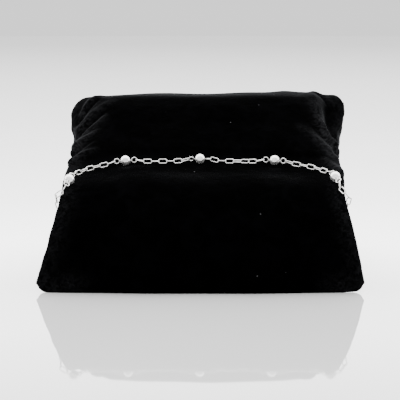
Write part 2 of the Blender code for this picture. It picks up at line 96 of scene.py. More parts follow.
# folds of the velvet: across and along at start, middle and end, half width, height, in metres
folds = (
    # ears and the big creases beside them
    (-0.983, 0.625, -0.900, 0.685, -0.725, 0.727, 0.0022, 0.0011),
    (-0.955, 0.752, -0.860, 0.775, -0.640, 0.800, 0.0021, 0.0010),
    (-0.980, 0.690, -0.890, 0.728, -0.700, 0.765, 0.0018, -0.0011),
    (0.983, 0.605, 0.855, 0.765, 0.752, 0.950, 0.0024, 0.0012),
    (0.992, 0.680, 0.925, 0.800, 0.840, 0.960, 0.0024, -0.0018),
    (0.955, 0.540, 0.860, 0.605, 0.688, 0.670, 0.0019, 0.0008),
    (0.620, 0.930, 0.760, 0.935, 0.880, 0.930, 0.0056, 0.0012),
    # small ones that fan out from the left side
    (-0.985, 0.585, -0.910, 0.625, -0.790, 0.660, 0.0012, 0.0009),
    (-0.985, 0.520, -0.914, 0.537, -0.760, 0.545, 0.0012, 0.0009),
    (-0.980, 0.655, -0.920, 0.662, -0.830, 0.682, 0.0010, -0.0006),
    (-0.980, 0.553, -0.920, 0.580, -0.800, 0.602, 0.0010, -0.0005),
    (-0.930, 0.815, -0.839, 0.867, -0.760, 0.925, 0.0013, 0.0010),
    (-0.965, 0.790, -0.870, 0.825, -0.760, 0.860, 0.0012, -0.0007),
    # small ones that fan out from the right side
    (0.975, 0.620, 0.908, 0.695, 0.840, 0.745, 0.0011, 0.0010),
    (0.980, 0.575, 0.900, 0.640, 0.780, 0.700, 0.0011, -0.0006),
    (0.970, 0.440, 0.930, 0.480, 0.870, 0.520, 0.0013, 0.0008),
    (0.800, 0.935, 0.872, 0.905, 0.945, 0.860, 0.0012, 0.0007),
    (0.830, 0.905, 0.890, 0.875, 0.960, 0.830, 0.0010, -0.0005),
)


def bell(distance, width):
    return np.exp(-(distance / width) ** 2)


def readTable(table, along):
    # a smooth curve through the rows
    rows = np.array(table)
    knots = rows[:, 0]
    values = rows[:, 1:]
    slopes = np.gradient(values, knots, axis=0)
    along = np.clip(along, 0.0, 1.0)
    cell = np.clip(np.searchsorted(knots, along, side="right") - 1, 0, len(knots) - 2)
    span = knots[cell + 1] - knots[cell]
    t = ((along - knots[cell]) / span)[..., None]
    span = span[..., None]
    start = (2 * t ** 3 - 3 * t ** 2 + 1) * values[cell]
    end = (3 * t ** 2 - 2 * t ** 3) * values[cell + 1]
    leave = (t ** 3 - 2 * t ** 2 + t) * span * slopes[cell]
    arrive = (t ** 3 - t ** 2) * span * slopes[cell + 1]
    return start + end + leave + arrive


def crossing(across, under):
    # along value where the bracelet crosses the face
    middle = cushionSizes["crossUnder"] if under else cushionSizes["crossTop"]
    turned = np.arcsin(np.clip(np.abs(across), 0.0, 1.0)) * 2 / math.pi
    return middle + (cushionSizes["crossSide"] - middle) * turned ** cushionSizes["crossBend"]


def bareSurface(across, along, under):
    # the upper or under face before groove, tunnel and flat base
    side = readTable(sideSeam, along)
    middle = readTable(belly if under else crest, along)
    fullness = np.clip(1.0 - np.abs(across) ** middle[..., 2], 0.0, 1.0) ** cushionSizes["roundness"]
    halfWidth = np.where(across < 0, side[..., 0], side[..., 1])
    x = cushionSizes["width"] / 2 * halfWidth * across
    y = cushionSizes["depth"] * (side[..., 2] + (middle[..., 0] - side[..., 2]) * fullness)
    z = cushionSizes["height"] * (side[..., 3] + (middle[..., 1] - side[..., 3]) * fullness)
    return np.stack((x, y, z), axis=-1)


def outward(across, along, under, step=0.004):
    inner = np.clip(across, -cushionSizes["seamAcross"], cushionSizes["seamAcross"])
    byAcross = bareSurface(inner + step, along, under) - bareSurface(inner - step, along, under)
    low = np.clip(along - step, 0.0, 1.0)
    high = np.clip(along + step, 0.0, 1.0)
    byAlong = bareSurface(inner, high, under) - bareSurface(inner, low, under)
    normal = np.cross(byAcross, byAlong) * (-1.0 if under else 1.0)
    return normal / np.linalg.norm(normal, axis=-1, keepdims=True)


def cushionSurface(across, along, under):
    # the round cushion with the bracelet's groove on top, its tunnel below and a flat base
    across = np.asarray(across, dtype=float)
    along = np.asarray(along, dtype=float)
    normal = outward(across, along, under)
    sideways = np.zeros_like(normal)
    sideways[..., 0] = np.sign(across)
    edge = (np.abs(across) ** cushionSizes["seamTurn"])[..., None]
    normal = normal * (1.0 - edge) + sideways * edge
    normal /= np.linalg.norm(normal, axis=-1, keepdims=True)
    points = bareSurface(across, along, under)
    off = (along - crossing(across, under)) * cushionSizes["depth"]
    share = bell(off, cushionSizes["dentWidth"])
    if under:
        short = cushionSizes["tunnelHeight"] - points[..., 2]
        points[..., 2] += share * (short + np.hypot(short, cushionSizes["tunnelEase"])) / 2
    else:
        points -= normal * (cushionSizes["dentTop"] * share)[..., None]
    points[..., 2] = np.maximum(points[..., 2], 0.0)
    return points


def footprintCentre(columns=41, rows=81):
    grid = np.meshgrid(np.linspace(-1, 1, columns), np.linspace(0, 1, rows))
    faces = [bareSurface(grid[0], grid[1], under).reshape(-1, 3) for under in (False, True)]
    points = np.concatenate(faces)
    return (points.min(axis=0) + points.max(axis=0)) / 2 * np.array((1, 1, 0))


centre = footprintCentre()


def makeObject(name, points, faces, smooth=True):
    mesh = bpy.data.meshes.new(name)
    mesh.from_pydata([tuple(point) for point in points], [], faces)
    if smooth:
        mesh.shade_smooth()
    piece = bpy.data.objects.new(name, mesh)
    bpy.context.scene.collection.objects.link(piece)
    return piece


def getPoints(mesh):
    flat = np.empty(len(mesh.vertices) * 3)
    mesh.vertices.foreach_get("co", flat)
    return flat.reshape(-1, 3)


def setPoints(mesh, points):
    mesh.vertices.foreach_set("co", np.ascontiguousarray(points).ravel())
    mesh.update()


def getNormals(mesh):
    flat = np.empty(len(mesh.vertices) * 3)
    mesh.vertex_normals.foreach_get("vector", flat)
    return flat.reshape(-1, 3)


# the bracelet's line
braceletSizes = {
    "beads": 9, "beadDiameter": 0.0030, "beadHole": 0.0010,
    "wire": 0.00031, "linksBetween": 7, "linkLength": 0.0029, "linkWidth": 0.0015, "linkCorner": 0.00042,
    "eyeDiameter": 0.0018, "pinDiameter": 0.00034,
    "endRingDiameter": 0.0034, "endRingWire": 0.0005,
    "play": 0.0003, "eyePlay": 0.0002, "solder": 0.00010,
    "samples": 480, "smoothing": 40, "nudge": 0.02,
    "settlings": 5, "stepHalvings": 40, "closingHalvings": 30,
}
claspSizes = {
    "length": 0.0070, "width": 0.0046, "wire": 0.0013,
    "eyeDiameter": 0.0030, "eyeWire": 0.0008, "overlap": 0.0004,
}
linkChord = braceletSizes["linkLength"] - 2 * braceletSizes["wire"]
eyeChord = (
    braceletSizes["beadDiameter"] / 2 + braceletSizes["eyePlay"] + braceletSizes["solder"] / 2
    + braceletSizes["eyeDiameter"] - braceletSizes["wire"]
)
ringHooked = braceletSizes["endRingDiameter"] - 2 * braceletSizes["endRingWire"] - braceletSizes["play"]
hardwareLength = (
    claspSizes["length"] - claspSizes["wire"] + claspSizes["eyeDiameter"] - claspSizes["eyeWire"]
    - claspSizes["overlap"] + 2 * ringHooked
)


def smoothLoop(points, passes):
    for _ in range(passes):
        points = 0.5 * points + 0.25 * (np.roll(points, 1, axis=0) + np.roll(points, -1, axis=0))
    return points


def unitRows(vectors):
    return vectors / np.linalg.norm(vectors, axis=1, keepdims=True)


def walkAlong(points):
    # distance walked at each point
    return np.concatenate(([0.0], np.cumsum(np.linalg.norm(np.diff(points, axis=0), axis=1))))


def readRows(rows, walked, places):
    return np.stack([np.interp(places, walked, rows[:, axis]) for axis in range(3)], axis=1)


class Route:
    # closed line from the top middle towards +X and back underneath
    def __init__(self):
        samples = braceletSizes["samples"]
        half = np.sin(np.linspace(0.0, 0.5, samples // 4) * math.pi)
        line = []
        rearward = []
        for across, under in ((half, False), (half[::-1], True), (-half, True), (-half[::-1], False)):
            cross = crossing(across, under)
            line.append(cushionSurface(across, cross, under)[:-1] - centre)
            behind = bareSurface(across, cross + braceletSizes["nudge"], under)
            inFront = bareSurface(across, cross - braceletSizes["nudge"], under)
            rearward.append(unitRows(behind - inFront)[:-1])
        line = np.vstack(line)
        rearward = np.vstack(rearward)
        line = np.vstack((line, line[:1]))
        rearward = np.vstack((rearward, rearward[:1]))
        walked = walkAlong(line)
        places = np.linspace(0.0, walked[-1], samples, endpoint=False)
        cushionLine = readRows(line, walked, places)
        self.length = walked[-1]
        self.line = smoothLoop(cushionLine, braceletSizes["smoothing"])
        lengthwise = smoothLoop(readRows(rearward, walked, places), braceletSizes["smoothing"])
        ahead = np.roll(self.line, -1, axis=0) - np.roll(self.line, 1, axis=0)
        self.out = unitRows(np.cross(ahead, lengthwise))
        sunk = np.maximum(np.sum((cushionLine - self.line) * self.out, axis=1), 0.0)
        self.line += self.out * sunk[:, None]
        self.low = braceletSizes["linkWidth"] / 2 + braceletSizes["play"]
        self.stand = np.full(samples, self.low)

    def lift(self, places, spans, heights):
        # the line stands off the cushion at the beads and the clasp
        samples = braceletSizes["samples"]
        steps = np.arange(samples) / samples * self.length
        self.stand = np.full(samples, self.low)
        for place, span, height in zip(places, spans, heights):
            off = np.abs((steps - place + self.length / 2) % self.length - self.length / 2)
            rise = np.clip(1.0 - (off - span) / braceletSizes["linkLength"], 0.0, 1.0)
            self.stand = np.maximum(self.stand, self.low + height * rise ** 2 * (3 - 2 * rise))

    def read(self, values, place):
        samples = braceletSizes["samples"]
        spot = (place / self.length * samples) % samples
        low = int(spot) % samples
        share = spot - int(spot)
        return values[low] * (1 - share) + values[(low + 1) % samples] * share

    def at(self, place):
        return Vector(self.read(self.line + self.out * self.stand[:, None], place))

    def height(self, point, place):
        return float(np.dot(np.array(point) - self.read(self.line, place), self.read(self.out, place)))

    def stepOn(self, place, chord, way):
        # the next place a straight chord away
        here = self.at(place)
        low = 0.5 * chord
        high = 2.0 * chord
        for _ in range(braceletSizes["stepHalvings"]):
            middle = (low + high) / 2
            if (self.at(place + way * middle) - here).length < chord:
                low = middle
            else:
                high = middle
        return place + way * (low + high) / 2


def walkBracelet(route):
    # from the middle bead both ways, link by link, until the last bead on each side
    links = braceletSizes["linksBetween"]
    eachWay = braceletSizes["beads"] // 2
    pitch = 2 * eyeChord + links * linkChord
    beads = [number * pitch for number in range(-eachWay, eachWay + 1)]
    lifts = [(braceletSizes["beadDiameter"] - braceletSizes["linkWidth"]) / 2] * len(beads)
    claspLift = (braceletSizes["endRingDiameter"] - braceletSizes["linkWidth"] + braceletSizes["play"]) / 2
    for _ in range(braceletSizes["settlings"]):
        spans = [eyeChord] * len(beads) + [hardwareLength / 2]
        route.lift(beads + [route.length / 2], spans, lifts + [claspLift])
        walks = {}
        for way in (1, -1):
            place = route.stepOn(0.0, eyeChord, way)
            walked = [place]
            for bead in range(eachWay):
                for _ in range(links):
                    place = route.stepOn(place, linkChord, way)
                    walked.append(place)
                place = route.stepOn(place, 2 * eyeChord, way)
                number = eachWay + way * (bead + 1)
                beads[number] = (walked[-1] + place) / 2
                middle = (route.at(walked[-1]) + route.at(place)) / 2
                wanted = braceletSizes["beadDiameter"] / 2 + braceletSizes["play"]
                lifts[number] += wanted - route.height(middle, beads[number])
                walked.append(place)
            walks[way] = walked
    span = links + 1
    stretches = {}
    for number in range(eachWay):
        stretches[number] = walks[1][span * number:span * (number + 1)]
        stretches[-1 - number] = walks[-1][span * number:span * (number + 1)][::-1]
    return stretches, walks[1][-1], walks[-1][-1] + route.length


def closeBracelet(route, start, end):
    # links from each last bead to the clasp, all a little longer or shorter so that they meet it
    free = end - start - hardwareLength
    count = max(2, round(free / linkChord))
    first = count // 2
    low = 0.5 * free / count
    high = 1.5 * free / count
    for _ in range(braceletSizes["closingHalvings"]):
        chord = (low + high) / 2
        near = [start]
        for _ in range(first):
            near.append(route.stepOn(near[-1], chord, 1))
        far = [end]
        for _ in range(count - first):
            far.append(route.stepOn(far[-1], chord, -1))
        if (route.at(near[-1]) - route.at(far[-1])).length > hardwareLength:
            low = chord
        else:
            high = chord
    return near, far[::-1]


route = Route()
stretches, nearStart, farStart = walkBracelet(route)
nearPlaces, farPlaces = closeBracelet(route, nearStart, farStart)
print("bracelet line ready")

# silver wire
linkMesh = {
    "sides": 8, "cornerSteps": 9, "ringSteps": 26, "pinSides": 12,
    "endRingSteps": 40, "endRingSides": 10, "sharpestTurn": 0.5,
}

# degrees that each link is turned about the line: plain ones by turns, and one row for each
# stretch that shows, from left to right, with the beads' eyes at its ends
plainRoll = 90
seenRolls = (
    (0, 62, -28, 60, -22, 62, 0, 88, -5),
    (0, 90, 0, 88, -4, 80, -12, 55, -32),
    (88, 0, 80, -8, 52, -44, 16, 90, 0),
    (0, 62, -16, 66, -12, 62, -22, 70, -5),
)


def frameOn(start, end, roll):
    # X from start to end, Z is the link's flat side and faces the front
    ahead = (end - start).normalized()
    facing = Vector((0.0, -1.0, 0.0))
    facing = (facing - ahead * facing.dot(ahead)).normalized()
    across = facing.cross(ahead)
    turn = Matrix((ahead, across, facing)).transposed().to_4x4()
    return Matrix.Translation((start + end) / 2) @ turn @ Matrix.Rotation(math.radians(roll), 4, "X")


def linkOutline(halfLength, halfWidth, corner, steps):
    outline = []
    for side in (1, -1):
        for step in range(steps):
            angle = math.pi * (step / (steps - 1) - 0.5)
            x = side * (halfLength - corner + corner * math.cos(angle))
            outline.append((x, side * halfWidth * math.sin(angle)))
    return outline


def roundOutline(radius, steps):
    turns = [2 * math.pi * step / steps for step in range(steps)]
    return [(radius * math.cos(angle), radius * math.sin(angle)) for angle in turns]


def wrapFaces(rings, sides, flipped=False):
    # faces of a closed row of rings
    faces = []
    for ring in range(rings):
        following = (ring + 1) % rings
        for side in range(sides):
            beside = (side + 1) % sides
            here = ring * sides + side
            aside = ring * sides + beside
            across = following * sides + beside
            ahead = following * sides + side
            faces.append((here, ahead, across, aside) if flipped else (here, aside, across, ahead))
    return faces


def tubeRing(outline, wire, sides, place):
    # round wire along a closed flat outline
    count = len(outline)
    points = []
    for number, (x, y) in enumerate(outline):
        before = Vector(outline[number - 1])
        after = Vector(outline[(number + 1) % count])
        ahead = (after - before).normalized()
        inward = Vector((-ahead.y, ahead.x, 0.0))
        turnIn = (Vector((x, y)) - before).normalized().dot(ahead)
        miter = 1.0 / max(turnIn, linkMesh["sharpestTurn"])
        for side in range(sides):
            angle = 2 * math.pi * side / sides
            offset = inward * (math.cos(angle) * wire / 2 * miter)
            offset.z = math.sin(angle) * wire / 2
            points.append(place @ (Vector((x, y, 0.0)) + offset))
    return points, wrapFaces(count, sides)


def rod(length, diameter, sides, place):
    points = []
    for end in (-0.5, 0.5):
        for side in range(sides):
            angle = 2 * math.pi * side / sides
            spot = Vector((end * length, math.cos(angle) * diameter / 2, math.sin(angle) * diameter / 2))
            points.append(place @ spot)
    faces = [tuple(range(sides - 1, -1, -1)), tuple(range(sides, 2 * sides))]
    for side in range(sides):
        beside = (side + 1) % sides
        faces.append((side, beside, sides + beside, sides + side))
    return points, faces


def joinShapes(shapes):
    points = []
    faces = []
    for shapePoints, shapeFaces in shapes:
        start = len(points)
        points.extend(shapePoints)
        faces.extend(tuple(start + corner for corner in face) for face in shapeFaces)
    return points, faces


wireShapes = []


def addLink(start, end, roll):
    wire = braceletSizes["wire"]
    halfLength = (end - start).length / 2 + wire / 2 - braceletSizes["solder"] / 2
    halfWidth = (braceletSizes["linkWidth"] - wire) / 2
    outline = linkOutline(halfLength, halfWidth, braceletSizes["linkCorner"], linkMesh["cornerSteps"])
    wireShapes.append(tubeRing(outline, wire, linkMesh["sides"], frameOn(start, end, roll)))


def addEye(middle, touch, roll):
    wire = braceletSizes["wire"]
    ahead = (touch - middle).normalized()
    eyeMiddle = touch - ahead * (braceletSizes["eyeDiameter"] / 2 - wire + braceletSizes["solder"] / 2)
    place = frameOn(eyeMiddle - ahead * wire, eyeMiddle + ahead * wire, roll)
    outline = roundOutline((braceletSizes["eyeDiameter"] - wire) / 2, linkMesh["ringSteps"])
    wireShapes.append(tubeRing(outline, wire, linkMesh["sides"], place))


def addPin(start, end):
    # the pin ends in the middle of each eye's wire
    taken = braceletSizes["eyeDiameter"] - 1.5 * braceletSizes["wire"] + braceletSizes["solder"] / 2
    length = (end - start).length - 2 * taken
    place = frameOn(start, end, 0)
    wireShapes.append(rod(length, braceletSizes["pinDiameter"], linkMesh["pinSides"], place))


def stretchRolls(number):
    seen = number + len(seenRolls) // 2
    if 0 <= seen < len(seenRolls):
        return seenRolls[seen]
    return [plainRoll * (turn % 2) for turn in range(braceletSizes["linksBetween"] + 2)]


# links between the beads
eachWay = braceletSizes["beads"] // 2
touches = {}
for number, places in stretches.items():
    rolls = stretchRolls(number)
    spots = [route.at(place) for place in places]
    for turn in range(braceletSizes["linksBetween"]):
        addLink(spots[turn], spots[turn + 1], rolls[turn + 1])
    touches[number, "right"] = (spots[0], rolls[0])
    touches[number + 1, "left"] = (spots[-1], rolls[-1])
touches[eachWay, "right"] = (route.at(nearStart), plainRoll * (len(nearPlaces) % 2))
touches[-eachWay, "left"] = (route.at(farStart), plainRoll * (len(farPlaces) % 2))

# an eye on each side of a bead, and the pin that it turns on
beadPlaces = []
for number in range(-eachWay, eachWay + 1):
    left, leftRoll = touches[number, "left"]
    right, rightRoll = touches[number, "right"]
    middle = (left + right) / 2
    addEye(middle, left, leftRoll)
    addEye(middle, right, rightRoll)
    addPin(left, right)
    beadPlaces.append(frameOn(left, right, 0))

# links to the clasp, and the ring at each end that it holds
ends = []
for places, ringAt in ((nearPlaces, -1), (farPlaces, 0)):
    spots = [route.at(place) for place in places]
    turns = len(spots) - 1
    for turn in range(turns):
        fromBead = turn if ringAt == -1 else turns - 1 - turn
        addLink(spots[turn], spots[turn + 1], plainRoll * ((turns - fromBead) % 2))
    ends.append(spots[ringAt])
hardware = frameOn(ends[0], ends[1], 0)
ringWire = braceletSizes["endRingWire"]
endRing = roundOutline((braceletSizes["endRingDiameter"] - ringWire) / 2, linkMesh["endRingSteps"])
for way in (-1, 1):
    reach = hardwareLength / 2 - braceletSizes["endRingDiameter"] / 2
    ringMiddle = way * (reach + ringWire - braceletSizes["solder"] / 2)
    place = hardware @ Matrix.Translation((ringMiddle, 0, 0))
    wireShapes.append(tubeRing(endRing, ringWire, linkMesh["endRingSides"], place))

chain = makeObject("fineChain", *joinShapes(wireShapes))
print("chain made of", len(wireShapes), "pieces of wire")

# beads
beadMesh = {
    "sides": 48, "bands": 26,
    "rimRound": 0.00006, "boreStart": 2.5, "rimSoft": 0.3, "ballStart": 1.2,  # the last three in rims
}


def drilledBall(diameter, hole, place):
    # a ball on X with a straight hole and a softened rim
    radius = diameter / 2
    mouth = math.asin(hole / diameter)
    rim = beadMesh["rimRound"]
    inner = hole / 2
    rimX = radius * math.cos(mouth)
    soft = beadMesh["rimSoft"] * rim
    profile = [
        (rimX - beadMesh["boreStart"] * rim, inner), (rimX - rim, inner), (rimX - soft, inner + soft),
    ]
    start = mouth + rim / radius * beadMesh["ballStart"]
    for band in range(beadMesh["bands"] + 1):
        angle = start + (math.pi - 2 * start) * band / beadMesh["bands"]
        profile.append((radius * math.cos(angle), radius * math.sin(angle)))
    profile += [(-x, reach) for x, reach in reversed(profile[:3])]  # the same rim on the other end
    sides = beadMesh["sides"]
    points = []
    for x, reach in profile:
        for side in range(sides):
            angle = 2 * math.pi * side / sides
            points.append(place @ Vector((x, reach * math.cos(angle), reach * math.sin(angle))))
    return points, wrapFaces(len(profile), sides, flipped=True)


beads = []
for number, place in enumerate(beadPlaces):
    ball = drilledBall(braceletSizes["beadDiameter"], braceletSizes["beadHole"], place)
    beads.append(makeObject("roundBead_%d" % (number + 1), *ball))
print("beads made")

# clasp
claspMesh = {"bodySteps": 20, "bodySides": 20, "eyeSteps": 36, "eyeSides": 14}
flat = hardware @ Matrix.Rotation(math.radians(90), 4, "X")
bodyStart = (
    -hardwareLength / 2 + braceletSizes["endRingDiameter"] - braceletSizes["endRingWire"]
    - braceletSizes["play"] - claspSizes["wire"]
)
bodyMiddle = bodyStart - braceletSizes["endRingWire"] + claspSizes["length"] / 2
tailMiddle = bodyMiddle + claspSizes["length"] / 2 + claspSizes["eyeDiameter"] / 2 - claspSizes["overlap"]
loopWidth = (claspSizes["width"] - claspSizes["wire"]) / 2
loopLength = (claspSizes["length"] - claspSizes["wire"]) / 2
loop = linkOutline(loopLength, loopWidth, loopWidth, claspMesh["bodySteps"])
bodyPlace = flat @ Matrix.Translation((bodyMiddle, 0, 0))
claspBody = tubeRing(loop, claspSizes["wire"], claspMesh["bodySides"], bodyPlace)
tailRing = roundOutline((claspSizes["eyeDiameter"] - claspSizes["eyeWire"]) / 2, claspMesh["eyeSteps"])
tailPlace = flat @ Matrix.Translation((tailMiddle, 0, 0))
claspTail = tubeRing(tailRing, claspSizes["eyeWire"], claspMesh["eyeSides"], tailPlace)
clasp = makeObject("plainClasp", *joinShapes([claspBody, claspTail]))
print("clasp made")

# velvet cushion
velvetWork = {
    # the cover is a little fuller at its front ears, and its right rear ear stands up
    "ears": {
        "frontLength": 0.10, "frontEnd": 40,
        "rearLength": 0.12, "rearWidth": 0.16, "rightLift": 0.0024,
    },
    # stuffing, done at a larger scale because cloth behaves badly at a few centimetres
    "scale": 20.0, "inset": 0.0004, "pressure": 4.0, "cap": 0.0006, "frames": 20,
    "quality": 4, "mass": 0.3, "stretch": 18, "bending": 0.6,
    "heldByBracelet": 0.007, "heldBySeam": 0.0025, "heldDigits": 1,
    # pile, folds and seam
    "pile": 0.00018, "upperFace": -0.25, "foldSamples": 25,
    "seamDepth": 0.00035, "seamWidth": 0.0006, "seamSamples": 260,
    # puckers along the seam, with swings given as height, radians a metre and start
    "puckerHeight": 0.00013, "puckerReach": 0.0034, "puckerStep": 0.0066, "puckersAbove": 0.012,
    "puckerWander": ((1.3, 91.0, 0.0), (0.9, 233.0, 1.0)),
    "puckerBase": 0.55, "puckerSwing": (0.45, 61.0, 2.0),
    # soft waves: radians a metre on X, Y and Z, and start
    "waveHeight": 0.00022, "crossedWaves": ((210, 40, 0, 0.0), (0, 170, 90, 0.7)),
    "longWave": (95, -140, 180, 2.1), "longShare": 0.6,
    # painted sheen: a lighter base colour on the fold ridges and along the side edges of the upper face
    "paintedSheenFold": 0.0012, "paintedSheenEdge": 0.0042, "paintedSheenEdgeShare": 0.5,
    "paintedSheenFrom": 0.030, "paintedSheenFade": 0.006,
    # the rear edge is stuffed a little fuller
    "rearLift": 0.0006, "rearFrom": 0.042, "rearFade": 0.004,
    # under the bracelet nothing stands proud, and the beads press small dimples
    "clearWidth": 0.0016, "beadDimple": 0.00022, "dimpleRadius": 0.0018, "dimpleWidth": 0.0009,
}


def closedGrid():
    # both faces on one grid, joined along the seam
    ears = velvetWork["ears"]
    columns = np.sin(np.linspace(-0.5, 0.5, cushionSizes["columns"] + 1) * math.pi)
    front = np.linspace(0, 1, cushionSizes["rowsInFront"], endpoint=False)
    behind = np.linspace(0, 1, cushionSizes["rowsBehind"] + 1)
    rows = len(front) + len(behind)
    grids = []
    for under in (False, True):
        cross = crossing(columns, under)[None, :]
        along = np.concatenate((cross * front[:, None], cross + (1 - cross) * behind[:, None]))
        across = np.repeat(columns[None, :], rows, axis=0)
        points = cushionSurface(across, along, under) - centre
        if under:
            # the under face lies flat on the table behind the front edge
            pressed = bell(along, ears["frontLength"]) * (1.0 - np.abs(across) ** ears["frontEnd"])
            points[..., 2] *= 1.0 - pressed
        lifted = bell(1.0 - along, ears["rearLength"]) * bell(1.0 - across, ears["rearWidth"])
        points[..., 2] += ears["rightLift"] * lifted
        grids.append(points)
    size = rows * len(columns)
    index = np.arange(size).reshape(rows, len(columns))
    other = index + size
    # the under face uses the upper face's points on the seam
    for edge in (np.s_[0, :], np.s_[-1, :], np.s_[:, 0], np.s_[:, -1]):
        other[edge] = index[edge]
    faces = []
    for grid, turned in ((index, False), (other, True)):
        quads = np.stack((grid[:-1, :-1], grid[:-1, 1:], grid[1:, 1:], grid[1:, :-1]), axis=-1)
        quads = quads.reshape(-1, 4)
        faces.append(quads[:, ::-1] if turned else quads)
    points = np.concatenate([grid.reshape(-1, 3) for grid in grids])
    used = np.unique(np.concatenate(faces))
    renumber = np.zeros(2 * size, dtype=int)
    renumber[used] = np.arange(len(used))
    return points[used], [tuple(int(corner) for corner in face) for face in renumber[np.concatenate(faces)]]


def applyModifiers(piece):
    graph = bpy.context.evaluated_depsgraph_get()
    mesh = bpy.data.meshes.new_from_object(piece.evaluated_get(graph))
    piece.modifiers.clear()
    piece.data = mesh


def nearestOn(line, points, batch=4000):
    # distance from each point to a row of points, and the number of the nearest
    gaps = np.empty(len(points))
    nearest = np.empty(len(points), dtype=int)
    for start in range(0, len(points), batch):
        part = slice(start, start + batch)
        away = np.linalg.norm(points[part, None, :] - line[None, :, :], axis=-1)
        nearest[part] = np.argmin(away, axis=1)
        gaps[part] = away.min(axis=1)
    return gaps, nearest


def swing(walked, height, rate, start):
    return height * np.sin(walked * rate + start)


def waveOver(points, wave):
    return np.sin(points @ np.array(wave[:3]) + wave[3])


# the seam all round
turn = np.linspace(-1, 1, velvetWork["seamSamples"])
way = np.linspace(0, 1, velvetWork["seamSamples"])
seamLine = np.concatenate((
    bareSurface(np.full_like(way, -1.0), way, False),
    bareSurface(turn, np.full_like(turn, 1.0), False),
    bareSurface(np.full_like(way, 1.0), way[::-1], False),
    bareSurface(turn[::-1], np.full_like(turn, 0.0), False),
)) - centre
seamWalk = walkAlong(seamLine)

cushion = makeObject("velvetCushion", *closedGrid())

# stuffing: the cover swells from a slightly smaller start, held along the bracelet and the seam
shape = getPoints(cushion.data)
gaps, _ = nearestOn(route.line, shape)
held = bell(gaps, velvetWork["heldByBracelet"])
gaps, _ = nearestOn(seamLine, shape)
held = np.maximum(held, bell(gaps, velvetWork["heldBySeam"]))
small = shape - getNormals(cushion.data) * (velvetWork["inset"] * (1.0 - held))[:, None]
setPoints(cushion.data, small * velvetWork["scale"])
group = cushion.vertex_groups.new(name="held")
levels = np.round(held, velvetWork["heldDigits"])
for level in np.unique(levels):
    chosen = np.nonzero(levels == level)[0]
    group.add([int(number) for number in chosen], float(level), "REPLACE")
cloth = cushion.modifiers.new("stuffing", "CLOTH")
cloth.settings.quality = velvetWork["quality"]
cloth.settings.mass = velvetWork["mass"]
cloth.settings.tension_stiffness = velvetWork["stretch"]
cloth.settings.compression_stiffness = velvetWork["stretch"]
cloth.settings.bending_stiffness = velvetWork["bending"]
cloth.settings.use_pressure = True
cloth.settings.uniform_pressure_force = velvetWork["pressure"]
cloth.settings.vertex_group_mass = "held"
cloth.settings.effector_weights.gravity = 0
cloth.collision_settings.use_self_collision = False
cloth.collision_settings.use_collision = False
scene = bpy.context.scene
for step in range(1, velvetWork["frames"] + 1):
    scene.frame_set(step)
applyModifiers(cushion)
scene.frame_set(1)
swollen = getPoints(cushion.data) / velvetWork["scale"]
moved = swollen - small
far = np.linalg.norm(moved, axis=1, keepdims=True)
shortened = velvetWork["cap"] / np.maximum(far, velvetWork["cap"])
print("stuffing moved the velvet by up to %.2f mm" % (far.max() * 1000))
setPoints(cushion.data, small + moved * shortened)
cushion.vertex_groups.clear()

finer = cushion.modifiers.new("finer", "SUBSURF")
finer.levels = 1
finer.render_levels = 1
applyModifiers(cushion)
cushion.data.shade_smooth()

points = getPoints(cushion.data)
normals = getNormals(cushion.data)
proud = np.full(len(points), velvetWork["pile"])

# folds that fan out from the sides, on the upper face only
upper = normals[:, 2] > velvetWork["upperFace"]
foldShare = np.linspace(0.0, 1.0, velvetWork["foldSamples"])
atStart = (2 * foldShare - 1) * (foldShare - 1)
atMiddle = 4 * foldShare * (1 - foldShare)
atEnd = foldShare * (2 * foldShare - 1)
foldWeights = np.stack((atStart, atMiddle, atEnd), axis=1)
# painted sheen mask: the fold ridges and the side edges get a lighter base colour
paintedSheen = np.zeros(len(points))
for fold in folds:
    foldAcross = foldWeights @ np.array(fold[0:6:2])
    foldAlong = foldWeights @ np.array(fold[1:6:2])
    halfWidth, height = fold[6:]
    line = bareSurface(foldAcross, foldAlong, False) - centre
    gaps, nearest = nearestOn(line, points)
    fading = 1.0 - foldShare[nearest] ** 3
    raised = np.where(upper, height * fading * bell(gaps, halfWidth), 0.0)
    proud += raised
    # painted sheen on the raised part of each fold
    paintedSheen += np.maximum(raised, 0.0) / velvetWork["paintedSheenFold"]

# the seam's small puckers
gaps, nearest = nearestOn(seamLine, points)
walked = seamWalk[nearest]
# painted sheen along the side edges of the upper face
fromMiddle = np.abs(points[:, 0]) - velvetWork["paintedSheenFrom"]
onSides = np.clip(fromMiddle / velvetWork["paintedSheenFade"], 0.0, 1.0) * upper
paintedSheen += velvetWork["paintedSheenEdgeShare"] * onSides * bell(gaps, velvetWork["paintedSheenEdge"])
proud -= velvetWork["seamDepth"] * bell(gaps, velvetWork["seamWidth"])
wander = sum(swing(walked, *each) for each in velvetWork["puckerWander"])
pucker = np.sin(walked * 2 * math.pi / velvetWork["puckerStep"] + wander)
offTable = np.clip(points[:, 2] / velvetWork["puckersAbove"], 0.0, 1.0)
strength = (velvetWork["puckerBase"] + swing(walked, *velvetWork["puckerSwing"])) * offTable
proud += velvetWork["puckerHeight"] * pucker * strength * bell(gaps, velvetWork["puckerReach"])

# the cover's long soft waves
firstWave, secondWave = velvetWork["crossedWaves"]
wave = waveOver(points, firstWave) * waveOver(points, secondWave)
wave += velvetWork["longShare"] * waveOver(points, velvetWork["longWave"])
proud += velvetWork["waveHeight"] * wave

# the fuller rear edge
overRear = (points[:, 2] - velvetWork["rearFrom"]) / velvetWork["rearFade"]
proud += velvetWork["rearLift"] * np.clip(overRear, 0.0, 1.0)

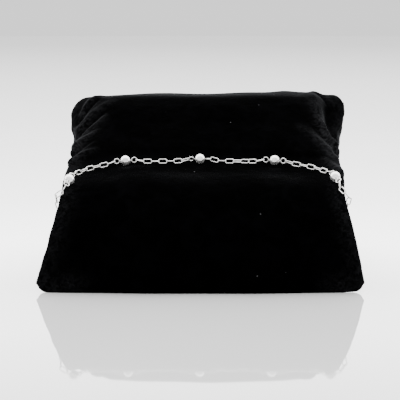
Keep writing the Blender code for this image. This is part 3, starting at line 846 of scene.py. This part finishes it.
# the bracelet keeps its place
gaps, _ = nearestOn(route.line, points)
proud -= np.maximum(proud - velvetWork["pile"], 0.0) * bell(gaps, velvetWork["clearWidth"])
beadSpots = np.array([tuple(place.translation) for place in beadPlaces])
gaps, _ = nearestOn(beadSpots, points)
proud -= velvetWork["beadDimple"] * bell(gaps - velvetWork["dimpleRadius"], velvetWork["dimpleWidth"])
points = points + normals * proud[:, None]
points[:, 2] = np.maximum(points[:, 2], 0.0)
setPoints(cushion.data, points)
# the painted sheen mask, read by the velvet's base colour
paintedSheenAttribute = cushion.data.attributes.new("paintedSheenMask", "FLOAT", "POINT")
paintedSheenAttribute.data.foreach_set("value", np.clip(paintedSheen, 0.0, 1.0))
print("cushion made with", len(cushion.data.polygons), "faces")


# materials
def newMaterial(name):
    material = bpy.data.materials.new(name)
    material.use_nodes = True
    nodes = material.node_tree.nodes
    return material, nodes, material.node_tree.links, nodes["Principled BSDF"]


def noise(nodes, links, place, scale, detail=2.0, distortion=0.0):
    texture = nodes.new("ShaderNodeTexNoise")
    texture.inputs["Scale"].default_value = scale
    texture.inputs["Detail"].default_value = detail
    texture.inputs["Distortion"].default_value = distortion
    links.new(place, texture.inputs["Vector"])
    return texture.outputs["Fac"]


def remap(nodes, links, value, low, high, toLow=0.0, toHigh=1.0):
    node = nodes.new("ShaderNodeMapRange")
    node.inputs["From Min"].default_value = low
    node.inputs["From Max"].default_value = high
    node.inputs["To Min"].default_value = toLow
    node.inputs["To Max"].default_value = toHigh
    links.new(value, node.inputs["Value"])
    return node.outputs["Result"]


def mottle(nodes, links, place, scale, detail, distortion, low, high, toLow=0.0, toHigh=1.0):
    # noise, with its values from low to high spread over the given range
    grain = noise(nodes, links, place, scale, detail, distortion)
    return remap(nodes, links, grain, low, high, toLow, toHigh)


def multiply(nodes, links, first, second):
    node = nodes.new("ShaderNodeMath")
    node.operation = "MULTIPLY"
    links.new(first, node.inputs[0])
    links.new(second, node.inputs[1])
    return node.outputs["Value"]


def mixColours(nodes, links, share, first, second):
    node = nodes.new("ShaderNodeMix")
    node.data_type = "RGBA"
    links.new(share, node.inputs["Factor"])
    for socket, colour in ((node.inputs["A"], first), (node.inputs["B"], second)):
        if isinstance(colour, tuple):
            socket.default_value = (*colour, 1.0)
        else:
            links.new(colour, socket)
    return node.outputs["Result"]


def bump(nodes, links, height, strength, distance, before=None):
    node = nodes.new("ShaderNodeBump")
    node.inputs["Strength"].default_value = strength
    node.inputs["Distance"].default_value = distance
    links.new(height, node.inputs["Height"])
    if before is not None:
        links.new(before, node.inputs["Normal"])
    return node.outputs["Normal"]


# noise rows hold scale, detail, distortion, the values that are spread, and the range they fill
velvetLook = {
    # deep and the lighter colour beside it make random patches, the lighter one painted sheen where the
    # pile catches the light
    "deep": (0.0002, 0.0002, 0.0002), "paintedSheen": (0.0005, 0.0005, 0.0006),
    # turned is the painted sheen colour for the fold ridges and the side edges
    "turned": (0.0078, 0.0079, 0.0085), "lint": (0.05, 0.05, 0.052),
    "patches": (190, 3.0, 0.8, 0.42, 0.68), "streaks": (760, 4.0, 1.2, 0.38, 0.66, 0.12, 1.0),
    "rareSpecks": (420, 1.0, 0.0, 0.66, 0.70), "speckScale": 330, "speckEdge": (0.045, 0.075),
    "roughness": 1.0, "specular": 0.0,
    "sheen": 0.075, "sheenRoughness": 0.25, "sheenTint": (0.80, 0.82, 0.86),
    "crushedNoise": (330, 3.0, 0.5), "crushedBump": (0.5, 0.0003),
    "pileNoise": (3600, 2.0), "pileBump": (0.55, 0.00012),
}
velvet, nodes, links, shader = newMaterial("blackVelvet")
place = nodes.new("ShaderNodeTexCoord").outputs["Object"]
# random patches of a lighter base colour: painted sheen where the pile catches the light
patches = mottle(nodes, links, place, *velvetLook["patches"])
colour = mixColours(nodes, links, patches, velvetLook["deep"], velvetLook["paintedSheen"])
# painted sheen on the fold ridges and side edges, broken into streaks by noise
paintedSheenNode = nodes.new("ShaderNodeAttribute")
paintedSheenNode.attribute_name = "paintedSheenMask"
streaks = mottle(nodes, links, place, *velvetLook["streaks"])
turned = multiply(nodes, links, paintedSheenNode.outputs["Fac"], streaks)
colour = mixColours(nodes, links, turned, colour, velvetLook["turned"])
specks = nodes.new("ShaderNodeTexVoronoi")
specks.inputs["Scale"].default_value = velvetLook["speckScale"]
links.new(place, specks.inputs["Vector"])
isSpeck = remap(nodes, links, specks.outputs["Distance"], *velvetLook["speckEdge"], 1.0, 0.0)
isRare = mottle(nodes, links, place, *velvetLook["rareSpecks"])
lint = multiply(nodes, links, isSpeck, isRare)
colour = mixColours(nodes, links, lint, colour, velvetLook["lint"])
links.new(colour, shader.inputs["Base Color"])
shader.inputs["Roughness"].default_value = velvetLook["roughness"]
shader.inputs["Specular IOR Level"].default_value = velvetLook["specular"]
shader.inputs["Sheen Weight"].default_value = velvetLook["sheen"]
shader.inputs["Sheen Roughness"].default_value = velvetLook["sheenRoughness"]
shader.inputs["Sheen Tint"].default_value = (*velvetLook["sheenTint"], 1.0)
crushing = noise(nodes, links, place, *velvetLook["crushedNoise"])
crushed = bump(nodes, links, crushing, *velvetLook["crushedBump"])
pileGrain = noise(nodes, links, place, *velvetLook["pileNoise"])
piled = bump(nodes, links, pileGrain, *velvetLook["pileBump"], crushed)
links.new(piled, shader.inputs["Normal"])
cushion.data.materials.clear()
cushion.data.materials.append(velvet)

silverLook = {
    # the wire's colours are set darker than the beads': painted shade that makes the thin wire look dimmer
    "wire": {"bright": (0.78, 0.775, 0.765), "shade": (0.46, 0.455, 0.44), "metal": 1.0},
    "ball": {"bright": (0.94, 0.935, 0.925), "shade": (0.80, 0.79, 0.775), "metal": 0.86},
    "tones": (700, 2.0, 0.0, 0.40, 0.65), "rubbing": (2400, 2.0, 0.0, 0.35, 0.70),
    "smooth": 0.10, "worn": 0.20,
    "markNoise": (5200, 2.0), "markBump": (0.06, 0.00002),
}


def silverMaterial(name, tone):
    material, nodes, links, shader = newMaterial(name)
    place = nodes.new("ShaderNodeTexCoord").outputs["Object"]
    toned = mottle(nodes, links, place, *silverLook["tones"])
    colour = mixColours(nodes, links, toned, tone["bright"], tone["shade"])
    links.new(colour, shader.inputs["Base Color"])
    rubbed = mottle(nodes, links, place, *silverLook["rubbing"], silverLook["smooth"], silverLook["worn"])
    links.new(rubbed, shader.inputs["Roughness"])
    shader.inputs["Metallic"].default_value = tone["metal"]
    marks = noise(nodes, links, place, *silverLook["markNoise"])
    links.new(bump(nodes, links, marks, *silverLook["markBump"]), shader.inputs["Normal"])
    return material


# the wire's silver is the darker copy, with painted shade
shadedWireSilver = silverMaterial("shadedPolishedSilverWire", silverLook["wire"])
ballSilver = silverMaterial("polishedSilverBall", silverLook["ball"])
silverPieces = [(chain, shadedWireSilver), (clasp, shadedWireSilver)] + [(bead, ballSilver) for bead in beads]
for piece, material in silverPieces:
    piece.data.materials.clear()
    piece.data.materials.append(material)
print("materials made")

# what each piece stands for
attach(cushion, "root")
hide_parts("cushion")
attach(chain, "root")
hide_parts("chain")
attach(clasp, "root")
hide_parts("clasp")
for number, bead in enumerate(beads):
    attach(bead, "root")
    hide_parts("bead_%d" % (number + 1))

# pale glossy table, light and camera
tableLook = {
    "pale": (0.64, 0.64, 0.64), "duller": (0.61, 0.61, 0.61), "clouds": (9, 2.0, 0.0, 0.35, 0.65),
    "roughness": 0.03, "gloss": 0.32, "ior": 1.50,
    "innerRadius": 0.3, "radius": 3.0, "sides": 96,
}
ring = tableLook["sides"]
tablePoints = [(0.0, 0.0, 0.0)]
for reach in (tableLook["innerRadius"], tableLook["radius"]):
    for side in range(ring):
        angle = 2 * math.pi * side / ring
        tablePoints.append((reach * math.cos(angle), reach * math.sin(angle), 0.0))
tableFaces = []
for side in range(ring):
    beside = (side + 1) % ring
    tableFaces.append((0, 1 + side, 1 + beside))
    tableFaces.append((1 + side, 1 + ring + side, 1 + ring + beside, 1 + beside))
table = makeObject("paleTable", tablePoints, tableFaces, smooth=False)
tabletop, nodes, links, shader = newMaterial("paleGloss")
place = nodes.new("ShaderNodeTexCoord").outputs["Object"]
clouds = mottle(nodes, links, place, *tableLook["clouds"])
colour = mixColours(nodes, links, clouds, tableLook["pale"], tableLook["duller"])
links.new(colour, shader.inputs["Base Color"])
shader.inputs["Roughness"].default_value = tableLook["roughness"]
shader.inputs["Metallic"].default_value = tableLook["gloss"]
shader.inputs["IOR"].default_value = tableLook["ior"]
table.data.materials.append(tabletop)

# the surroundings are dimmer in front of the object, from frontFrom to rearFrom on Y
studio = {"power": 9.0, "frontShare": 0.35, "frontFrom": -0.35, "rearFrom": 0.15}

# height above the horizon and brightness there
studioGlow = (
    (0.0, 1.27), (0.03, 1.22), (0.065, 2.2), (0.10, 3.0), (0.145, 4.3), (0.18, 6.0), (0.22, 9.0),
    (0.26, 6.6), (0.30, 7.0), (0.38, 4.0), (0.60, 5.0), (1.0, 7.0),
)

# name, place, aim, width, height, power
softboxes = (
    ("overheadSoftbox", (0.0, 0.10, 0.70), (0, 0, 0), 0.60, 0.45, 3.0),
    ("leftSoftbox", (-0.55, -0.25, 0.30), (0, 0, 0.02), 0.30, 0.30, 1.0),
    ("rightSoftbox", (0.55, -0.25, 0.30), (0, 0, 0.02), 0.30, 0.30, 1.0),
)


def grey(level):
    return (level, level, level, 1.0)


world = bpy.data.worlds.new("softStudio")
bpy.context.scene.world = world
world.use_nodes = True
nodes = world.node_tree.nodes
links = world.node_tree.links
background = nodes["Background"]
direction = nodes.new("ShaderNodeTexCoord").outputs["Generated"]
split = nodes.new("ShaderNodeSeparateXYZ")
links.new(direction, split.inputs["Vector"])
ramp = nodes.new("ShaderNodeValToRGB")
links.new(split.outputs["Z"], ramp.inputs["Fac"])
stops = ramp.color_ramp.elements
for end in (0, -1):
    stops[end].position = studioGlow[end][0]
    stops[end].color = grey(studioGlow[end][1] / studio["power"])
for position, level in studioGlow[1:-1]:
    stops.new(position).color = grey(level / studio["power"])
links.new(ramp.outputs["Color"], background.inputs["Color"])
dimmed = studio["power"] * studio["frontShare"]
facing = remap(
    nodes, links, split.outputs["Y"], studio["frontFrom"], studio["rearFrom"], dimmed, studio["power"]
)
links.new(facing, background.inputs["Strength"])


def softbox(name, place, aim, width, height, power):
    light = bpy.data.lights.new(name, "AREA")
    light.shape = "RECTANGLE"
    light.size = width
    light.size_y = height
    light.energy = power
    lamp = bpy.data.objects.new(name, light)
    lamp.location = place
    lamp.rotation_euler = (Vector(aim) - Vector(place)).to_track_quat("-Z", "Y").to_euler()
    lamp.visible_glossy = False  # no bright rectangle in the table
    bpy.context.scene.collection.objects.link(lamp)


for each in softboxes:
    softbox(*each)

# place in metres, degrees below level, lens and sensor in millimetres
cameraSet = {
    "place": (-0.00112, -0.31068, 0.07665), "pitch": 10.476, "lens": 91.7, "sensor": 36,
    "nearest": 0.01, "farthest": 20,
}
camera = bpy.data.objects.new("camera", bpy.data.cameras.new("camera"))
camera.location = cameraSet["place"]
camera.rotation_euler = (math.radians(90 - cameraSet["pitch"]), 0, 0)
camera.data.lens = cameraSet["lens"]
camera.data.sensor_width = cameraSet["sensor"]
camera.data.clip_start = cameraSet["nearest"]
camera.data.clip_end = cameraSet["farthest"]
bpy.context.scene.collection.objects.link(camera)
bpy.context.scene.camera = camera
print("table, light and camera made")
